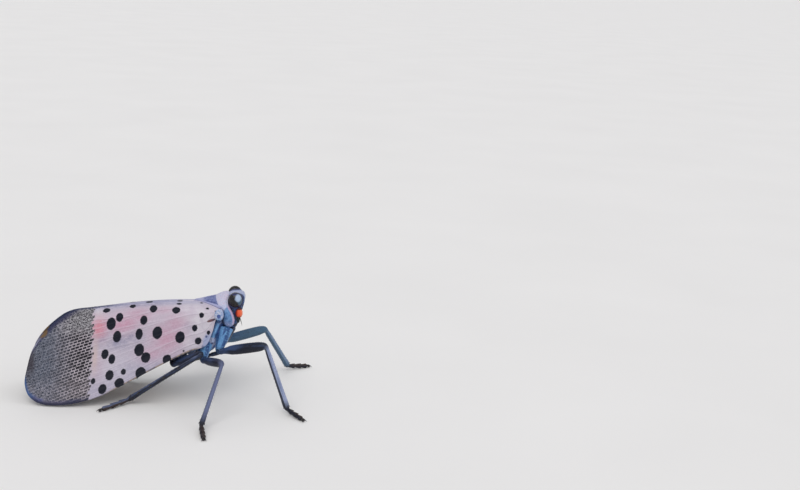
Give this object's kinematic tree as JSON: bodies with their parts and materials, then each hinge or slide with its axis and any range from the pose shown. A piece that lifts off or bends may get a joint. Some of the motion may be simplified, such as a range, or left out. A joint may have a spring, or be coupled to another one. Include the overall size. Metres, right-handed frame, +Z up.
{
  "type": "adult spotted lanternfly with closed wings",
  "caption": "Adult spotted lanternfly at rest on its feet: netted, spotted forewings closed like a roof over folded hindwings, blunt head with orange feelers, slim legs.",
  "frame": {"origin": "middle of the whole insect's footprint, on the floor under its feet", "axes": "+X towards the head, +Y to the insect's left, +Z up"},
  "size_m": [0.0358, 0.0324, 0.0137],
  "materials": {
    "cuticle": "satin slate blue with a waxy bloom",
    "eye": "glossy dark brown",
    "antenna": "satin bright orange",
    "limb": "satin blue-black",
    "body_plate": "matt pale blue-grey with a waxy bloom",
    "abdomen": "satin, dark bands on yellow",
    "forewing": "satin, pale pinkish grey with dark spots and a dark netted end",
    "hindwing": "satin red with dark spots and a dark end"
  },
  "bodies": {
    "root": {"head": "cuticle", "eye_left": "eye", "antenna_left": "antenna", "eye_right": "eye", "antenna_right": "antenna", "clypeus": "cuticle", "rostrum": "limb", "pronotum": "body_plate", "mesonotum": "body_plate", "thorax": "cuticle", "abdomen": "abdomen", "forewing_left": "forewing", "hindwing_left": "hindwing", "tegula_left": "body_plate", "forewing_right": "forewing", "hindwing_right": "hindwing", "tegula_right": "body_plate", "coxa_fore_left": "limb", "femur_fore_left": "limb", "tibia_fore_left": "limb", "tarsus_fore_left": "limb", "coxa_mid_left": "limb", "femur_mid_left": "limb", "tibia_mid_left": "limb", "tarsus_mid_left": "limb", "coxa_hind_left": "limb", "femur_hind_left": "limb", "tibia_hind_left": "limb", "tarsus_hind_left": "limb", "coxa_fore_right": "limb", "femur_fore_right": "limb", "tibia_fore_right": "limb", "tarsus_fore_right": "limb", "coxa_mid_right": "limb", "femur_mid_right": "limb", "tibia_mid_right": "limb", "tarsus_mid_right": "limb", "coxa_hind_right": "limb", "femur_hind_right": "limb", "tibia_hind_right": "limb", "tarsus_hind_right": "limb"}
  },
  "joints": []
}
